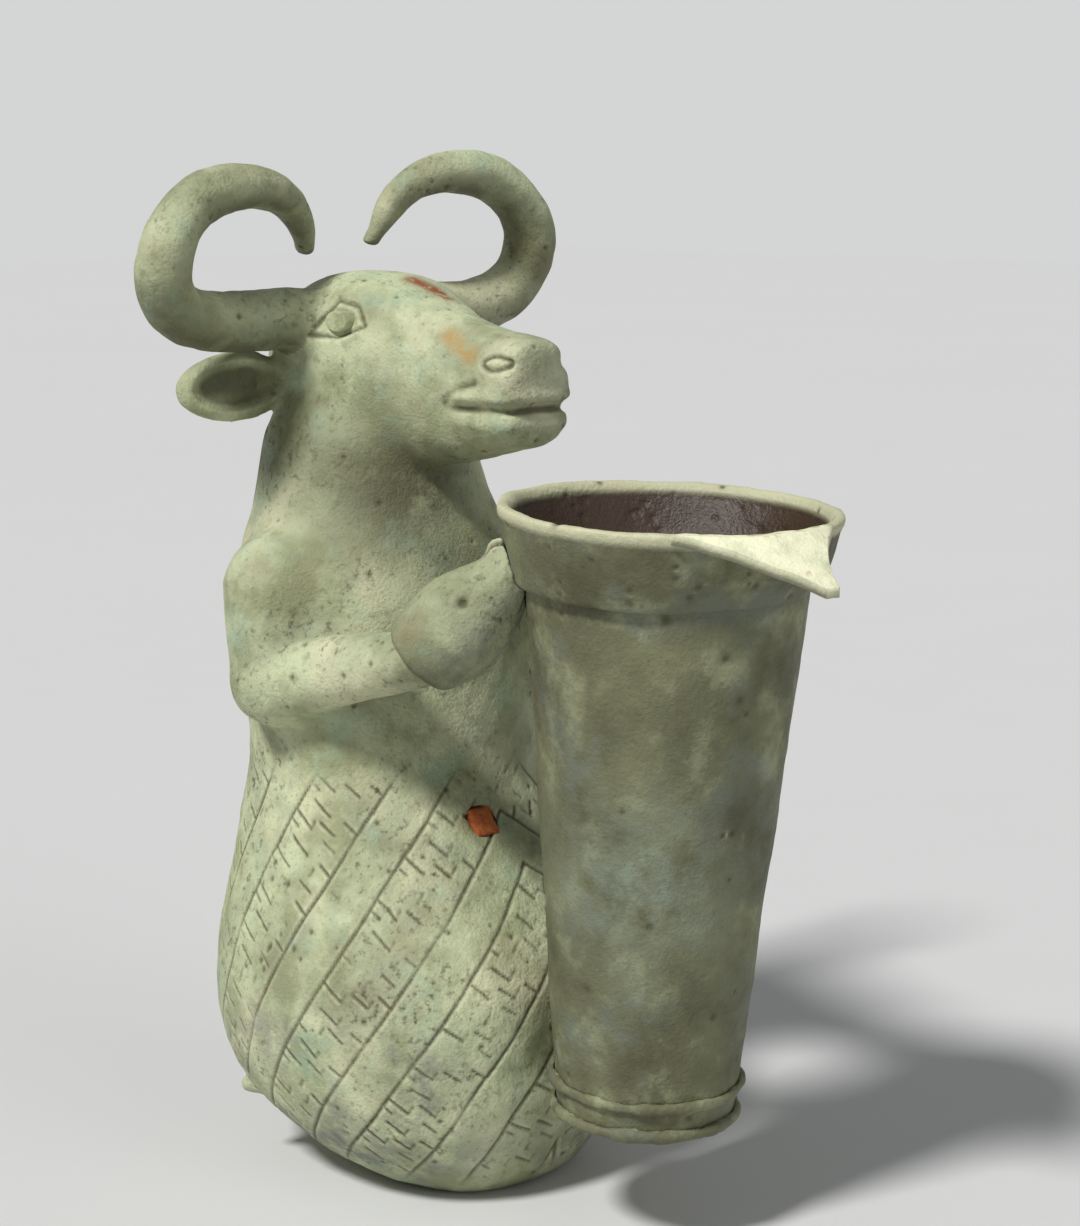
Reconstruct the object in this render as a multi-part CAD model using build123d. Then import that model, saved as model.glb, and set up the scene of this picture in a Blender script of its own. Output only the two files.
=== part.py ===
"""Kneeling bull rhyton: a robed bull that holds a flared beaker between its front hooves.

Millimetres, +Z up. The figure faces -Y, its right side is -X, and the origin is the middle of the flat
face that the vessel stands on.
"""

from build123d import *
from math import copysign, cos, pi, radians, sin, tan
import os

# Cast walls and seats
body_wall = 2.2
head_wall = 2.4
solder_gap = 0.1
spigot_gap = 0.25

# Robe, the kneeling lower body
hem_rounding = 36.0
hem_trim = 20.0
hip_height = 40.0
hip_half_width = 41.0
hip_half_depth = 40.0
hip_centre_y = 12.0
hem_forward = 18.2
waist_height = 84.0
waist_half_width = 29.0
waist_half_depth = 28.0
waist_centre_y = 23.5
waist_spigot_height = 6.0
waist_spigot_wall = 2.0

# Plate that closes the robe from below
plate_half_width = 12.5
plate_half_depth = 11.5
plate_thickness = 1.2
plate_ledge = 2.5

# Torso: heights are steps up from the waist
chest_rise = 28.0
chest_half_width = 31.0
chest_half_depth = 28.0
chest_centre_y = 26.5
neck_rise = 30.0
neck_half_width = 21.5
neck_half_depth = 21.5
neck_centre_y = 30.0
neck_top_rise = 16.0
neck_top_half_width = 15.0
neck_top_half_depth = 16.0
torso_cavity_rise = 50.0
torso_cavity_step = 1.0
neck_tenon_radius = 8.0
neck_tenon_height = 20.0
neck_tenon_root = 6.0

# Head: the stations run from the back of the skull to the muzzle
head_length = 66.0
head_height = 35.5
head_overhang = 17.0
jaw_drop = 1.0
skull_half_width = 15.5
muzzle_half_width = 8.5
poll_setback = 10.0
eye_rise = 27.5
eye_length = 6.4
eye_height = 4.2
eye_inlay_depth = 2.0
eye_proud = 0.9
eye_seat_share = 0.915
mouth_groove_depth = 1.4
mouth_groove_height = 2.0
mouth_length = 15.0
mouth_rise = 12.7
nostril_radius = 1.7
nostril_depth = 3.4
nostril_rise = 21.0

# Horns
horn_root_radius = 6.1
horn_bend_radius = 5.6
horn_top_radius = 4.7
horn_tip_radius = 2.1
horn_reach = 48.0
horn_sway = 4.5
horn_root_rise = 28.0
right_horn_rise = 25.3
left_horn_rise = 28.0
horn_tenon_radius = 3.6
horn_tenon_length = 9.0
horn_tenon_root = 4.0

# Ears
ear_length = 25.0
ear_width = 13.5
ear_thickness = 5.0
ear_hollow_depth = 2.4
ear_tenon_radius = 1.8
ear_tenon_length = 6.0
ear_tenon_root = 8.0
ear_rise = 15.5
ear_setback = 1.5
ear_sink = 2.0

# Arms
shoulder_radius = 14.0
shoulder_inset = 9.0
shoulder_setback = 1.5
shoulder_lift = 3.0
elbow_radius = 9.0
elbow_out = 8.0
elbow_forward = 4.0
elbow_rise = 15.5
forearm_radius = 8.2
wrist_radius = 5.4
arm_peg_radius = 3.0
arm_peg_length = 9.0
arm_peg_root = 3.0

# Front hooves
hoof_length = 27.0
hoof_radius = 9.4
hoof_mouth_radius = 7.4
hoof_tip_radius = 4.8
wrist_tenon_radius = 4.0
wrist_tenon_length = 8.0
wrist_tenon_root = 3.0
grip_above_collar_foot = 3.0

# Hind hoof tips
hind_hoof_length = 10.0
hind_hoof_radius = 4.5
hind_hoof_tip_radius = 1.2
hind_hoof_x = 33.0
hind_hoof_back = 21.3
hind_hoof_height = 15.4

# Cup
cup_foot_height = 23.0
cup_lean = 2.6
cup_foot_radius = 16.6
cup_wall_height = 104.5
cup_top_radius = 26.2
cup_wall_thickness = 1.8
collar_height = 14.5
collar_lap = 4.0
collar_thickness = 1.8
rim_radius = 31.4
cup_base_thickness = 2.2
foot_ring_radius = 1.2
foot_ring_upper_height = 6.8
foot_ring_lower_height = 1.2

# Pouring tongue
spout_turn = -9.0
spout_half_angle = 31.0
spout_root_turn = -8.0
spout_reach = 12.5
spout_slope = 31.0
spout_thickness = 1.8
spout_tip_width = 3.0

# Core plug in the front of the robe
plug_width = 5.2
plug_height = 4.6
plug_x = -5.0
plug_height_above_floor = 72.5
plug_depth = 5.0
plug_sink = 0.8

outline_points = 16
right = -1
left = 1

chest_height = waist_height + chest_rise
neck_height = chest_height + neck_rise
neck_top_height = neck_height + neck_top_rise
cavity_top_height = waist_height + torso_cavity_rise

# The head hangs on the neck: head_y is its back end, head_z its jaw line.
head_y = neck_centre_y + head_overhang
head_z = neck_height - jaw_drop
poll_y = head_y - poll_setback


def outline(half_x, half_y, power):
    """Closed smooth outline with |x/a|^n + |y/b|^n = 1; its seam is at +Y, clear of the side joints."""
    reach = 2 / power
    points = []
    for step in range(outline_points):
        turn = pi / 2 + 2 * pi * step / outline_points
        x = copysign(abs(cos(turn)) ** reach, cos(turn)) * half_x
        y = copysign(abs(sin(turn)) ** reach, sin(turn)) * half_y
        points.append((x, y))
    return make_face(Spline(*points, periodic=True))


def level(z, centre_y, half_x, half_y, power):
    """Outline in a level plane."""
    return Pos(0, centre_y, z) * outline(half_x, half_y, power)


def eased(low, high, share):
    """Values between two stations, with no slope at either of them."""
    ease = share * share * (3 - 2 * share)
    return [a + (b - a) * ease for a, b in zip(low, high)]


hip = (hip_centre_y, hip_half_width, hip_half_depth, 2.5)
waist = (waist_centre_y, waist_half_width, waist_half_depth, 2.1)
chest = (chest_centre_y, chest_half_width, chest_half_depth, 2.1)
neck = (neck_centre_y, neck_half_width, neck_half_depth, 2.0)
neck_top = (neck_centre_y, neck_top_half_width, neck_top_half_depth, 2.0)


def robe_form(grow=0.0, mouth=None):
    """Solid of the robe, grown by a distance; a mouth narrows its top and carries it past the waist."""
    rounding = hem_rounding + grow
    sections = []
    for step in range(5):
        turn = radians(hem_trim + (90 - hem_trim) * step / 4)
        inset = rounding * (1 - sin(turn)) - grow
        z = hem_rounding * cos(radians(hem_trim)) - rounding * cos(turn)
        centre_y = hip_centre_y - hem_forward * (1 - sin(turn))
        power = 2.0 + (hip[3] - 2.0) * sin(turn)
        sections.append(level(z, centre_y, hip_half_width - inset, hip_half_depth - inset, power))
    for step in range(6):
        share = step / 5
        z = hip_height + share * (waist_height - hip_height)
        centre_y, half_x, half_y, power = eased(hip, waist, share)
        reach = mouth if mouth is not None and share == 1.0 else grow
        sections.append(level(z, centre_y, half_x + reach, half_y + reach, power))
    if mouth is not None:
        over = waist_height + waist_spigot_height
        sections.append(level(over, waist_centre_y, waist[1] + mouth, waist[2] + mouth, waist[3]))
    return loft(sections)


torso_stops = (
    (waist_height, waist),
    (chest_height, chest),
    (neck_height, neck),
    (neck_top_height, neck_top),
)


def torso_sections(grow, low, high):
    """Outlines of chest, shoulders and neck between two heights."""
    sections = []
    for (low_z, low_stop), (high_z, high_stop) in zip(torso_stops, torso_stops[1:]):
        for share in (0.0, 0.33, 0.67):
            z = low_z + share * (high_z - low_z)
            if low <= z <= high:
                centre_y, half_x, half_y, power = eased(low_stop, high_stop, share)
                sections.append(level(z, centre_y, half_x + grow, half_y + grow, power))
    return sections


def torso_form(grow=0.0):
    """Solid of chest, shoulders and neck, grown by a distance."""
    top = level(neck_top_height, neck_top[0], neck_top[1] + grow, neck_top[2] + grow, neck_top[3])
    return loft(torso_sections(grow, waist_height, neck_top_height) + [top])


def torso_cavity():
    """Hollow of the torso: a straight mouth for the spigot of the robe, then the chest."""
    half_x = waist_half_width - body_wall
    half_y = waist_half_depth - body_wall
    step = torso_cavity_step
    mouth_foot = waist_height - step
    mouth_top = waist_height + waist_spigot_height + step
    mouth = extrude(level(mouth_foot, waist_centre_y, half_x, half_y, waist[3]), mouth_top - mouth_foot)
    start = level(mouth_top - step, waist_centre_y, half_x - step / 2, half_y - step / 2, waist[3])
    chest_sections = torso_sections(-body_wall, mouth_top + 2 * step, cavity_top_height)
    return mouth + loft([start] + chest_sections)


def head_form(grow=0.0):
    """Solid of the head, lofted along Y from the back of the skull to the muzzle."""
    mid_half_width = (skull_half_width + muzzle_half_width) / 2
    # Share of the length, half width, bottom and top as shares of the head's height
    stations = (
        (0.00, skull_half_width * 0.72, 0.28, 0.80),
        (0.15, skull_half_width, 0.11, 1.00),
        (0.36, skull_half_width, 0.00, 1.00),
        (0.56, mid_half_width * 1.08, -0.01, 0.89),
        (0.74, muzzle_half_width * 1.14, 0.04, 0.79),
        (0.88, muzzle_half_width * 1.07, 0.10, 0.74),
        (1.00, muzzle_half_width, 0.155, 0.705),
    )
    sections = []
    for share, half_width, low_share, high_share in stations:
        bottom = low_share * head_height
        top = high_share * head_height
        y = head_y - share * head_length
        if share == 0.0:
            y += grow
        if share == 1.0:
            y -= grow
        middle = head_z + (bottom + top) / 2
        plane = Plane(origin=(0, y, middle), x_dir=(1, 0, 0), z_dir=(0, -1, 0))
        sections.append(plane * outline(half_width + grow, (top - bottom) / 2 + grow, 2.6))
    return loft(sections)


def rod(start, end, radius):
    """Round bar between two points."""
    start = Vector(*start)
    end = Vector(*end)
    plane = Plane(origin=start, z_dir=end - start)
    return plane * Cylinder(radius, (end - start).length, align=(Align.CENTER, Align.CENTER, Align.MIN))


def frustum(start, end, start_radius, end_radius):
    """Tapered round bar between two points."""
    start = Vector(*start)
    end = Vector(*end)
    along = end - start
    near = Plane(origin=start, z_dir=along) * Circle(start_radius)
    far = Plane(origin=end, z_dir=along) * Circle(end_radius)
    return loft([near, far])


def placed_in_cup(shape):
    """Puts a shape from the cup's own frame, foot at the origin, in its leaning place."""
    foot_reach = cup_radius(foot_ring_upper_height) + foot_ring_radius
    foot_y = hip_centre_y - hip_half_depth - solder_gap * 2 - foot_reach
    lean = radians(cup_lean)
    frame = Plane(origin=(0, foot_y, cup_foot_height), x_dir=(1, 0, 0), z_dir=(0, -sin(lean), cos(lean)))
    return frame.location * shape


def turned(points):
    """Solid of revolution about Z from a closed outline in radius and height."""
    profile = Plane.XZ * make_face(Polyline(*points, close=True))
    return revolve(profile, Axis.Z)


def cup_radius(height):
    """Outside radius of the tapered wall at a height in the cup's frame."""
    return cup_foot_radius + (cup_top_radius - cup_foot_radius) * height / cup_wall_height


collar_foot = cup_wall_height - collar_lap
rim_height = collar_foot + collar_height


def cup_form(grow=0.0):
    """Solid cup with its collar, to shape the pieces that seat on it."""
    return turned([
        (0, -grow),
        (cup_foot_radius + grow, -grow),
        (cup_radius(collar_foot) + grow, collar_foot - grow),
        (cup_radius(collar_foot) + collar_thickness + grow, collar_foot - grow),
        (rim_radius + grow, rim_height + grow),
        (0, rim_height + grow),
    ])


def waist_spigot():
    """Solid plug above the waist that the torso sleeves over."""
    reach = -body_wall - spigot_gap
    foot = waist_height - body_wall
    face = level(foot, waist_centre_y, waist_half_width + reach, waist_half_depth + reach, waist[3])
    return extrude(face, waist_spigot_height + body_wall)


def robe_shell():
    shell = robe_form() + waist_spigot()
    shell -= robe_form(-body_wall, mouth=-body_wall - spigot_gap - waist_spigot_wall)
    return shell - plate_cut() - plug_bar(solder_gap)


def plate_cut():
    """Opening below the robe: a ledge for the plate and the hole above it."""
    seat = outline(plate_half_width + solder_gap, plate_half_depth + solder_gap, 2.0)
    hole = outline(plate_half_width - plate_ledge, plate_half_depth - plate_ledge, 2.0)
    return extrude(seat, plate_thickness + solder_gap) + extrude(hole, body_wall * 3)


def base_plate():
    return extrude(outline(plate_half_width, plate_half_depth, 2.0), plate_thickness)


def torso_shell():
    shell = torso_form() - torso_cavity()
    shell -= head_form(solder_gap)
    shell += neck_tenon()
    for side in (-1, 1):
        shell -= arm_peg(side, solder_gap)
    return shell


def neck_tenon(gap=0.0):
    foot = neck_height - neck_tenon_root
    start = (0, neck_centre_y, foot)
    end = (0, neck_centre_y, foot + neck_tenon_height + gap)
    return rod(start, end, neck_tenon_radius + gap)


eye_y = head_y - 0.37 * head_length
eye_z = head_z + eye_rise
muzzle_y = head_y - head_length


def eye_bar(side, gap=0.0):
    """Oval bar along X that forms the eye inlay and its socket, where the skull is a little narrower."""
    inner = skull_half_width * eye_seat_share - eye_inlay_depth - gap
    bar = extrude(Ellipse(eye_length / 2 + gap, eye_height / 2 + gap), eye_inlay_depth + eye_proud + gap)
    plane = Plane(origin=(side * inner, eye_y, eye_z), x_dir=(0, 1, 0), z_dir=(side, 0, 0))
    return plane.location * bar


def mouth_groove():
    """Groove between the lips, a U in plan that follows the taper of the muzzle."""
    outside = 2 * muzzle_half_width
    front_half = muzzle_half_width - mouth_groove_depth
    back_half = muzzle_half_width * 1.13 - mouth_groove_depth
    back_y = muzzle_y + mouth_length
    plan = make_face(Polyline(
        (-outside, back_y),
        (-outside, muzzle_y - mouth_groove_depth),
        (outside, muzzle_y - mouth_groove_depth),
        (outside, back_y),
        (back_half, back_y),
        (front_half, muzzle_y + mouth_groove_depth),
        (-front_half, muzzle_y + mouth_groove_depth),
        (-back_half, back_y),
        close=True,
    ))
    return Pos(0, 0, head_z + mouth_rise - mouth_groove_height / 2) * extrude(plan, mouth_groove_height)


def nostril(side):
    """Blind round hole in a front corner of the muzzle."""
    reach = nostril_depth / 2 ** 0.5
    z = head_z + nostril_rise
    bottom = (side * (muzzle_half_width - reach), muzzle_y + reach, z)
    mouth = (side * (muzzle_half_width + reach), muzzle_y - reach, z)
    return rod(bottom, mouth, nostril_radius)


def head_shell():
    shell = head_form() - head_form(-head_wall)
    shell -= neck_tenon(solder_gap)
    shell -= mouth_groove()
    for side in (-1, 1):
        shell -= eye_bar(side, solder_gap)
        shell -= nostril(side)
        shell -= horn_tenon(side, solder_gap)
        shell -= ear_tenon(side, solder_gap)
    return shell


horn_z = head_z + horn_root_rise


def horn_path(side):
    """Centre line of a horn: a bar out of the poll, then a curl up, over and back in."""
    rise = left_horn_rise if side == left else right_horn_rise
    # Shares of the reach out, the sway forward and the rise
    shape = (
        (0.21, 0.67, -0.04),
        (0.50, 0.22, -0.02),
        (0.75, 0.11, 0.00),
        (0.94, 0.44, 0.15),
        (1.00, 1.00, 0.49),
        (0.91, 1.00, 0.79),
        (0.75, 0.84, 0.96),
        (0.56, 0.67, 1.00),
        (0.375, 0.36, 0.93),
        (0.25, 0.04, 0.74),
        (0.18, -0.44, 0.48),
    )
    return [
        (side * horn_reach * out, poll_y - horn_sway * forward, horn_z + rise * up)
        for out, forward, up in shape
    ]


def horn_radius(share):
    """Radius along the horn, from the root at 0 to the tip at 1."""
    stops = (0.0, 0.30, 0.68, 1.0)
    radii = (horn_root_radius, horn_bend_radius, horn_top_radius, horn_tip_radius)
    for index in range(3):
        if share <= stops[index + 1]:
            part = (share - stops[index]) / (stops[index + 1] - stops[index])
            return radii[index] + (radii[index + 1] - radii[index]) * part
    return horn_tip_radius


def horn_tenon(side, gap=0.0):
    """Round bar that carries the horn through the wall of the head."""
    inner = side * (skull_half_width - horn_tenon_length - gap)
    length = horn_tenon_length + horn_tenon_root + gap
    seat = Plane(origin=(inner, poll_y - horn_sway / 2, horn_z), x_dir=(0, 1, 1), z_dir=(side, 0, 0))
    return extrude(seat * Circle(horn_tenon_radius + gap), length)


def horn(side):
    line = Spline(*horn_path(side))
    sections = []
    count = 14
    for step in range(count + 1):
        share = step / count
        plane = Plane(origin=line @ share, z_dir=line % share)
        sections.append(plane * Circle(horn_radius(share)))
    bar = loft(sections)
    bar -= head_form(solder_gap)
    return largest(bar) + horn_tenon(side)


def largest(shape):
    """The biggest solid of a cut shape, without the offcut inside."""
    return max(shape.solids(), key=lambda solid: solid.volume)


ear_root_y = poll_y + ear_setback
ear_root_z = head_z + ear_rise


def ear_frame(side):
    """Frame of an ear: x along it from the root, z out of its hollow face."""
    root = (side * (skull_half_width - ear_sink), ear_root_y, ear_root_z)
    along = Vector(side * 0.93, 0.34, -0.10)
    facing = Vector(side * 0.30, -0.94, 0.15)
    return Plane(origin=root, x_dir=along, z_dir=facing)


def ear_tenon(side, gap=0.0):
    frame = ear_frame(side)
    start = frame.from_local_coords((ear_sink - ear_tenon_length - gap, 0, 0))
    end = frame.from_local_coords((ear_tenon_root, 0, 0))
    return rod(tuple(start), tuple(end), ear_tenon_radius + gap)


def ear(side):
    leaf = scale(Sphere(1.0), by=(ear_length / 2, ear_width / 2, ear_thickness / 2))
    hollow = scale(Sphere(1.0), by=(ear_length * 0.40, ear_width * 0.38, ear_hollow_depth))
    dish = leaf - Pos(ear_length * 0.04, 0, ear_thickness / 2) * hollow
    dish = ear_frame(side).location * (Pos(ear_length / 2 - ear_sink / 2, 0, 0) * dish)
    dish -= head_form(solder_gap)
    dish -= torso_form(solder_gap)
    return largest(dish) + ear_tenon(side)


shoulder_x = chest_half_width - shoulder_inset
shoulder_y = chest_centre_y + shoulder_setback
shoulder_z = chest_height + shoulder_lift
elbow_x = shoulder_x + elbow_out
elbow_y = shoulder_y - elbow_forward
elbow_z = waist_height + elbow_rise


def grip_point(side):
    """Where a hoof meets the cup, at the foot of its collar and at 45 degrees to the sides."""
    height = collar_foot + grip_above_collar_foot
    radius = cup_radius(height)
    spot = placed_in_cup(Pos(side * radius * sin(pi / 4), radius * cos(pi / 4), height))
    return Vector(*spot.position)


def hoof_direction(side):
    return Vector(-side * 0.34, -0.65, 0.68).normalized()


def wrist_point(side):
    return grip_point(side) - hoof_direction(side) * hoof_length


def arm_peg(side, gap=0.0):
    """Peg that carries the arm through the wall of the torso."""
    inner = side * (chest_half_width - arm_peg_length - gap)
    outer = side * (chest_half_width + arm_peg_root)
    return rod((inner, shoulder_y, chest_height), (outer, shoulder_y, chest_height), arm_peg_radius + gap)


def limb_form(start, end, start_radius, end_radius):
    """Tapered limb with round ends, turned about the line between two points."""
    along = end - start
    length = along.length
    slant = 0.5 ** 0.5
    profile = [
        ThreePointArc((0, -start_radius), (start_radius * slant, -start_radius * slant), (start_radius, 0)),
        Line((start_radius, 0), (end_radius, length)),
        ThreePointArc((end_radius, length), (end_radius * slant, length + end_radius * slant),
                      (0, length + end_radius)),
        Line((0, length + end_radius), (0, -start_radius)),
    ]
    limb = revolve(Plane.XZ * make_face(profile), Axis.Z)
    return Plane(origin=start, z_dir=along).location * limb


def arm(side):
    shoulder = Vector(side * shoulder_x, shoulder_y, shoulder_z)
    elbow = Vector(side * elbow_x, elbow_y, elbow_z)
    limb = limb_form(shoulder, elbow, shoulder_radius, elbow_radius)
    limb += limb_form(elbow, wrist_point(side), forearm_radius, wrist_radius)
    limb -= torso_form(solder_gap)
    limb -= robe_form(solder_gap)
    limb = largest(limb) + arm_peg(side)
    limb -= hoof_form(side, solder_gap)
    return largest(limb) + wrist_tenon(side)


def wrist_tenon(side, gap=0.0):
    wrist = wrist_point(side)
    start = wrist - hoof_direction(side) * wrist_tenon_root
    end = wrist + hoof_direction(side) * (wrist_tenon_length + gap)
    return rod(tuple(start), tuple(end), wrist_tenon_radius + gap)


def hoof_form(side, grow=0.0):
    """Solid of a hoof cap from its mouth at the wrist into the wall of the cup."""
    stations = (
        (0.00, hoof_mouth_radius),
        (0.16, hoof_radius * 0.93),
        (0.36, hoof_radius),
        (0.60, hoof_radius * 0.87),
        (0.84, hoof_radius * 0.62),
        (1.08, hoof_tip_radius),
    )
    start = wrist_point(side)
    along = hoof_direction(side)
    sections = []
    for share, radius in stations:
        place = start + along * (share * hoof_length)
        if share == 0.0:
            place = place - along * grow
        sections.append(Plane(origin=place, z_dir=along) * Circle(radius + grow))
    return loft(sections)


def hoof(side):
    cap = hoof_form(side) - placed_in_cup(cup_form(solder_gap))
    return largest(cap) - wrist_tenon(side, solder_gap)


def hind_hoof(side):
    outward = Vector(side * 0.70, 0.70, -0.12).normalized()
    tip = Vector(side * hind_hoof_x, hip_centre_y + hind_hoof_back, hind_hoof_height)
    start = tip - outward * hind_hoof_length
    cone = frustum(tuple(start), tuple(tip), hind_hoof_radius, hind_hoof_tip_radius)
    return largest(cone - robe_form(solder_gap))


def cup_wall():
    inner_foot = cup_foot_radius - cup_wall_thickness
    inner_top = cup_top_radius - cup_wall_thickness
    return placed_in_cup(turned([
        (inner_foot, 0),
        (cup_foot_radius, 0),
        (cup_top_radius, cup_wall_height),
        (inner_top, cup_wall_height),
    ]))


def collar_profile(grow=0.0):
    """Outline of the collar: a lap over the wall, then the flared lip."""
    seat_low = cup_radius(collar_foot) + solder_gap
    seat_high = cup_top_radius + solder_gap
    return [
        (seat_low, collar_foot),
        (seat_low + collar_thickness + grow, collar_foot - grow),
        (rim_radius + grow, rim_height + grow),
        (rim_radius - collar_thickness, rim_height + grow),
        (cup_top_radius - cup_wall_thickness, cup_wall_height + solder_gap),
        (seat_high, cup_wall_height + solder_gap),
    ]


def cup_rim_collar():
    return placed_in_cup(turned(collar_profile()))


def cup_spout():
    """Tongue cut from a conical skirt that falls away outside the rim."""
    fall = tan(radians(spout_slope))
    far = rim_radius + spout_reach
    near = rim_radius - collar_thickness
    skirt = turned([
        (near, rim_height + fall * collar_thickness),
        (far, rim_height - fall * spout_reach),
        (far, rim_height - fall * spout_reach - spout_thickness),
        (near, rim_height + fall * collar_thickness - spout_thickness),
    ])
    right_angle = radians(spout_root_turn - spout_half_angle)
    left_angle = radians(spout_root_turn + spout_half_angle)
    tip = spout_tip_width / 2
    plan = make_face(Polyline(
        (rim_radius * sin(right_angle), -rim_radius * cos(right_angle)),
        (-tip, -far),
        (tip, -far),
        (rim_radius * sin(left_angle), -rim_radius * cos(left_angle)),
        (0, 0),
        close=True,
    ))
    tongue = Rot(0, 0, spout_turn) * (skirt & extrude(plan, rim_height))
    return placed_in_cup(largest(tongue - turned(collar_profile(solder_gap))))


def cup_base():
    radius = cup_foot_radius - cup_wall_thickness - solder_gap
    return placed_in_cup(Cylinder(radius, cup_base_thickness, align=(Align.CENTER, Align.CENTER, Align.MIN)))


def foot_ring(height):
    """Half-round bead seated on the wall."""
    ring = Pos(0, 0, height) * Torus(cup_radius(height) + solder_gap, foot_ring_radius)
    return placed_in_cup(ring - cup_form(solder_gap))


def plug_bar(gap=0.0):
    """Square bar through the front wall of the robe."""
    share = (plug_height_above_floor - hip_height) / (waist_height - hip_height)
    centre_y, half_x, half_y, power = eased(hip, waist, share)
    front_y = centre_y - half_y
    box = Box(plug_width + 2 * gap, plug_depth * 2 + 2 * gap, plug_height + 2 * gap)
    return Pos(plug_x, front_y + plug_sink, plug_height_above_floor) * box


def chest_core_plug():
    return plug_bar() & robe_form()


nodes = {
    "robe_shell": robe_shell(),
    "base_plate": base_plate(),
    "torso_shell": torso_shell(),
    "head_shell": head_shell(),
    "right_horn": horn(right),
    "left_horn": horn(left),
    "right_ear": ear(right),
    "left_ear": ear(left),
    "right_eye_inlay": eye_bar(right),
    "left_eye_inlay": eye_bar(left),
    "right_arm": arm(right),
    "left_arm": arm(left),
    "right_hoof": hoof(right),
    "left_hoof": hoof(left),
    "right_hind_hoof": hind_hoof(right),
    "left_hind_hoof": hind_hoof(left),
    "cup_wall": cup_wall(),
    "cup_rim_collar": cup_rim_collar(),
    "cup_spout": cup_spout(),
    "cup_base": cup_base(),
    "foot_ring_upper": foot_ring(foot_ring_upper_height),
    "foot_ring_lower": foot_ring(foot_ring_lower_height),
    "chest_core_plug": chest_core_plug(),
}

os.makedirs("parts", exist_ok=True)
for name, shape in nodes.items():
    export_step(shape, f"parts/{name}.step")
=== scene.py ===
"""Looks of the kneeling bull rhyton: corroded bronze with a stepped textile pattern on the robe."""

import math

import bpy
import numpy as np
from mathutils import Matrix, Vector
from mathutils.bvhtree import BVHTree


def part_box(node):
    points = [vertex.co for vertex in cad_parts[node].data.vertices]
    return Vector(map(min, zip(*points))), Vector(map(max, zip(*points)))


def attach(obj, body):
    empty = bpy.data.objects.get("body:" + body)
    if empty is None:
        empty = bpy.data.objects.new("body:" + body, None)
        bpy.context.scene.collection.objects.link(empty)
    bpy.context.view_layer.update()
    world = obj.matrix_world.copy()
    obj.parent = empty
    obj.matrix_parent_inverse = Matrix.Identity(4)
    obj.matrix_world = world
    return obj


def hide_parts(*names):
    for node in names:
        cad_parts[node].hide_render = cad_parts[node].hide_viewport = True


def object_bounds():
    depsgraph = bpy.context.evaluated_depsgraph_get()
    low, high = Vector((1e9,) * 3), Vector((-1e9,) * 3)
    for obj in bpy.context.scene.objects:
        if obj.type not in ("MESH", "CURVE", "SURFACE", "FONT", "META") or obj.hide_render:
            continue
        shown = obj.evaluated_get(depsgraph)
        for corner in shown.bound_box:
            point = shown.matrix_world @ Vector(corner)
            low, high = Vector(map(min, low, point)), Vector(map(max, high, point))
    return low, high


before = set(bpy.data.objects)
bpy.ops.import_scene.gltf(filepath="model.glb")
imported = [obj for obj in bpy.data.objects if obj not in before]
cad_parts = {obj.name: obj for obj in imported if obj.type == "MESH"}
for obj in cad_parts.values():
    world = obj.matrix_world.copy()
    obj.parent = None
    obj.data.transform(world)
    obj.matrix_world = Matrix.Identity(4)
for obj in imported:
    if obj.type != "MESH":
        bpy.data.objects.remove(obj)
cad_low, cad_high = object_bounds()

# Lengths below are millimetres in the row frame; meshes are written in metres.
MM = 0.001
solder_swell = 0.2

skin_grain = 0.45
soften_rounds = 60
seam_rounds = 120
reach_rounds = 45
fine_grain = 0.3
cup_grain = 0.5
collar_grain = 0.42

# Nodes under the one skin of the cast body; soft ones are smoothed most, crisp ones keep their seams
body_nodes = (
    "robe_shell", "base_plate", "torso_shell", "head_shell", "right_horn", "left_horn", "right_ear",
    "left_ear", "right_arm", "left_arm", "right_hind_hoof", "left_hind_hoof",
)
soft_nodes = ("robe_shell", "torso_shell", "head_shell", "right_arm", "left_arm")
crisp_nodes = ("base_plate", "right_hind_hoof", "left_hind_hoof")

# Robe: how far back its middle lies at three heights, and the heights between which the pattern runs
robe_axis_heights = (0.0, 40.0, 84.0)
robe_axis_back = (0.0, 12.0, 23.5)
pattern_bottom = 3.0
pattern_top = 84.0

# Bands of the robe: diagonal lines, with motifs in the wider strip of each period
viewed_turn = math.radians(45)
band_rise = 1.1
band_period = 20.8
band_width = 12.2
band_start = 33.0
line_depth = 0.42
line_half_width = 0.36
motif_pitch = 10.0
motif_depth = 0.42
motif_half_width = 0.36
lost_strokes = 0.3

# One unit of the stepped border: ends of each stroke along and across its band, and its share of the depth
motif_strokes = (
    ((1.2, 11.9), (1.2, 7.8), 1.0),
    ((1.2, 7.8), (3.0, 7.8), 0.55),
    ((4.0, 6.7), (4.0, 3.5), 1.0),
    ((4.0, 3.5), (5.8, 3.5), 0.55),
    ((6.4, 9.8), (6.4, 6.0), 1.0),
    ((6.4, 6.0), (8.2, 6.0), 0.55),
    ((7.4, 2.8), (7.4, 0.2), 1.0),
    ((8.8, 11.9), (8.8, 10.2), 0.8),
    ((1.4, 4.4), (1.4, 1.8), 0.8),
)

# Face: places back from the tip of the muzzle and up from the lowest point of the head, or down from its top
nostril_back = 4.2
nostril_rise = 21.6
nostril_half_length = 3.3
nostril_half_height = 1.3
mouth_rise = 12.6
mouth_length = 17.0
forehead_side = 4.0
forehead_back = 36.0
forehead_fall = 2.5
forehead_lift = 1.6
forehead_radius = 9.0

# Lines beside the mouth, back from the tip of the muzzle and up from the slit of the mouth
mouth_fold = ((16.5, 1.0), (13.3, 3.7), (8.5, 5.2))
cheek_line = ((18.0, 2.0), (9.0, 7.0))

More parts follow.
